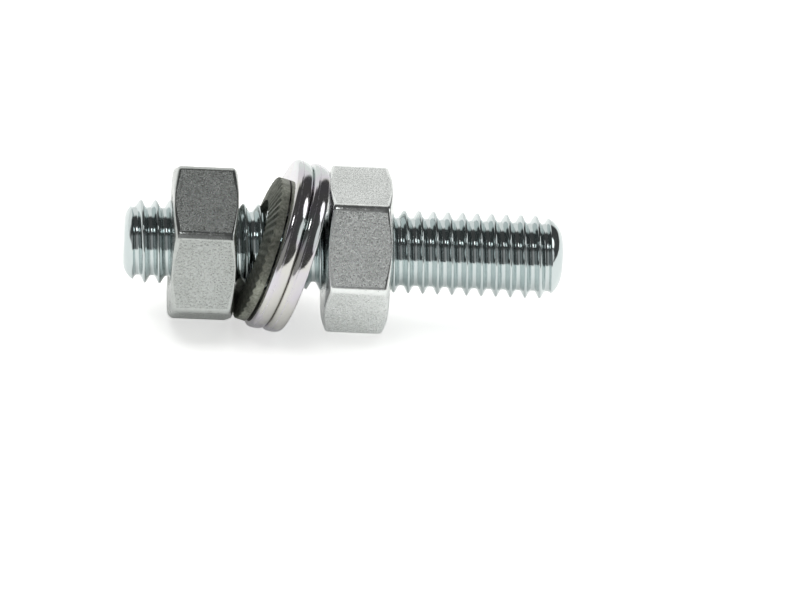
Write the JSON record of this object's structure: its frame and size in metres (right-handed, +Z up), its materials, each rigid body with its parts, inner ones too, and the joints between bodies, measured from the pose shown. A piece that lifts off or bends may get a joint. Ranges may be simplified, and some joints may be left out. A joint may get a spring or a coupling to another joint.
{
  "type": "grounding bolt",
  "caption": "Fully threaded zinc-plated steel stud with hex nuts clamping a ribbed lock washer and flat washers, for fixing earth leads to metal panels.",
  "frame": {"origin": "under the stud's middle, on the surface that the bolt lies on", "axes": "+X along the stud towards its long free thread, +Z up, +Y away from the side that the picture shows"},
  "size_m": [0.03, 0.0119, 0.0118],
  "materials": {
    "stud_zinc": "rolled thread, bright zinc with a blue passivate",
    "nut_zinc": "cold formed and tumbled, grainy zinc",
    "washer_zinc": "punched sheet, mirror-bright zinc",
    "lock_phosphate": "hardened spring steel, matt dark phosphate"
  },
  "bodies": {
    "stud": {"threaded_stud": "stud_zinc"},
    "lock_washer_body": {"lock_washer": "lock_phosphate"},
    "left_nut_body": {"left_nut": "nut_zinc"},
    "flat_washers_body": {"inner_flat_washer": "washer_zinc", "outer_flat_washer": "washer_zinc"},
    "right_nut_body": {"right_nut": "nut_zinc"}
  },
  "joints": [
    {"name": "lock_washer_slide", "type": "slide", "parent": "stud", "child": "lock_washer_body", "axis": [1, 0, 0], "range_m": [-0.006, 0]},
    {"name": "left_nut_turn", "type": "hinge", "parent": "lock_washer_body", "child": "left_nut_body", "pos_m": [-0.0096, 0, 0.00579], "axis": [1, 0, 0], "range_deg": [-2160, 0]},
    {"name": "flat_washers_slide", "type": "slide", "parent": "stud", "child": "flat_washers_body", "axis": [1, 0, 0], "range_m": [0, 0.014]},
    {"name": "right_nut_turn", "type": "hinge", "parent": "flat_washers_body", "child": "right_nut_body", "pos_m": [0.00093, 0, 0.00579], "axis": [1, 0, 0], "range_deg": [0, 5040]}
  ],
  "couplings": [
    {"joint": "left_nut_turn", "follows": "lock_washer_slide", "rad_per_m": 6283.2},
    {"joint": "right_nut_turn", "follows": "flat_washers_slide", "rad_per_m": 6283.2}
  ]
}
